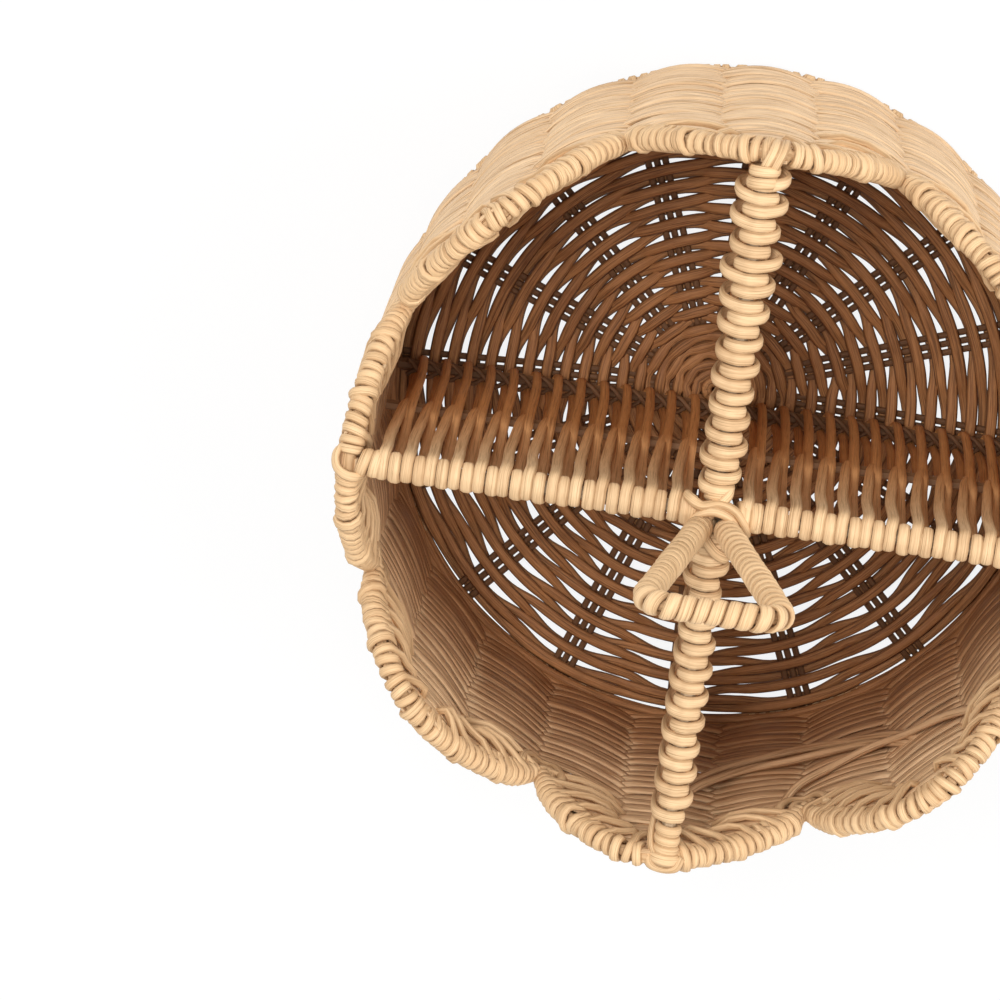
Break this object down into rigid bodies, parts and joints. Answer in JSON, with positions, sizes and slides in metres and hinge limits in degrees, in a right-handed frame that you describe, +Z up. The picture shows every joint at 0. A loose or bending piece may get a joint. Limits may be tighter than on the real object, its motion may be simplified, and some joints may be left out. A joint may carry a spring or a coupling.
{
  "type": "rattan caddy",
  "caption": "Round woven rattan caddy with a scalloped rim, crossing dividers that make open compartments, and an upright triangular carrying handle.",
  "frame": {"origin": "on the surface that the caddy stands on, under the middle of its round base", "axes": "+Z up, along the handle; +X along the divider that the handle's bar is parallel to; +Y along the other divider"},
  "size_m": [0.21, 0.21, 0.2114],
  "materials": {
    "pale_strand": "natural pale rattan strand, satin with fine fibre lines",
    "wall_strand": "natural rattan strand in close weave, satin with fine fibre lines",
    "divider_strand": "natural rattan strand, satin with fine fibre lines",
    "base_strand": "natural rattan strand, matte, a deeper brown",
    "splint": "flat split rattan strips, matte, a deeper brown",
    "cane": "round rattan core rod",
    "wire": "plain drawn wire"
  },
  "bodies": {
    "root": {"wall_weave": "wall_strand", "wall_stake_01": "cane", "wall_stake_02": "cane", "wall_stake_03": "cane", "wall_stake_04": "cane", "wall_stake_05": "cane", "wall_stake_06": "cane", "wall_stake_07": "cane", "wall_stake_08": "cane", "wall_stake_09": "cane", "wall_stake_10": "cane", "wall_stake_11": "cane", "wall_stake_12": "cane", "wall_stake_13": "cane", "wall_stake_14": "cane", "wall_stake_15": "cane", "wall_stake_16": "cane", "wall_stake_17": "cane", "wall_stake_18": "cane", "wall_stake_19": "cane", "wall_stake_20": "cane", "wall_stake_21": "cane", "wall_stake_22": "cane", "wall_stake_23": "cane", "wall_stake_24": "cane", "rim_wire": "wire", "rim_wrap_1": "pale_strand", "rim_wrap_2": "pale_strand", "rim_wrap_3": "pale_strand", "rim_wrap_4": "pale_strand", "rim_wrap_5": "pale_strand", "rim_wrap_6": "pale_strand", "rim_wrap_7": "pale_strand", "rim_wrap_8": "pale_strand", "base_border": "pale_strand", "base_weave": "base_strand", "base_spokes": "splint", "divider_x_top_rod": "cane", "divider_x_mid_rod": "cane", "divider_x_foot_rod": "cane", "divider_x_weave": "divider_strand", "divider_y_top_rod": "cane", "divider_y_mid_rod": "cane", "divider_y_foot_rod": "cane", "divider_y_weave_back": "divider_strand", "divider_y_weave_front": "divider_strand", "crossing_binding": "pale_strand", "rim_binding_right": "pale_strand", "rim_binding_back": "pale_strand", "rim_binding_left": "pale_strand", "rim_binding_front": "pale_strand", "handle_wire": "wire", "handle_wrap": "pale_strand"}
  },
  "joints": []
}
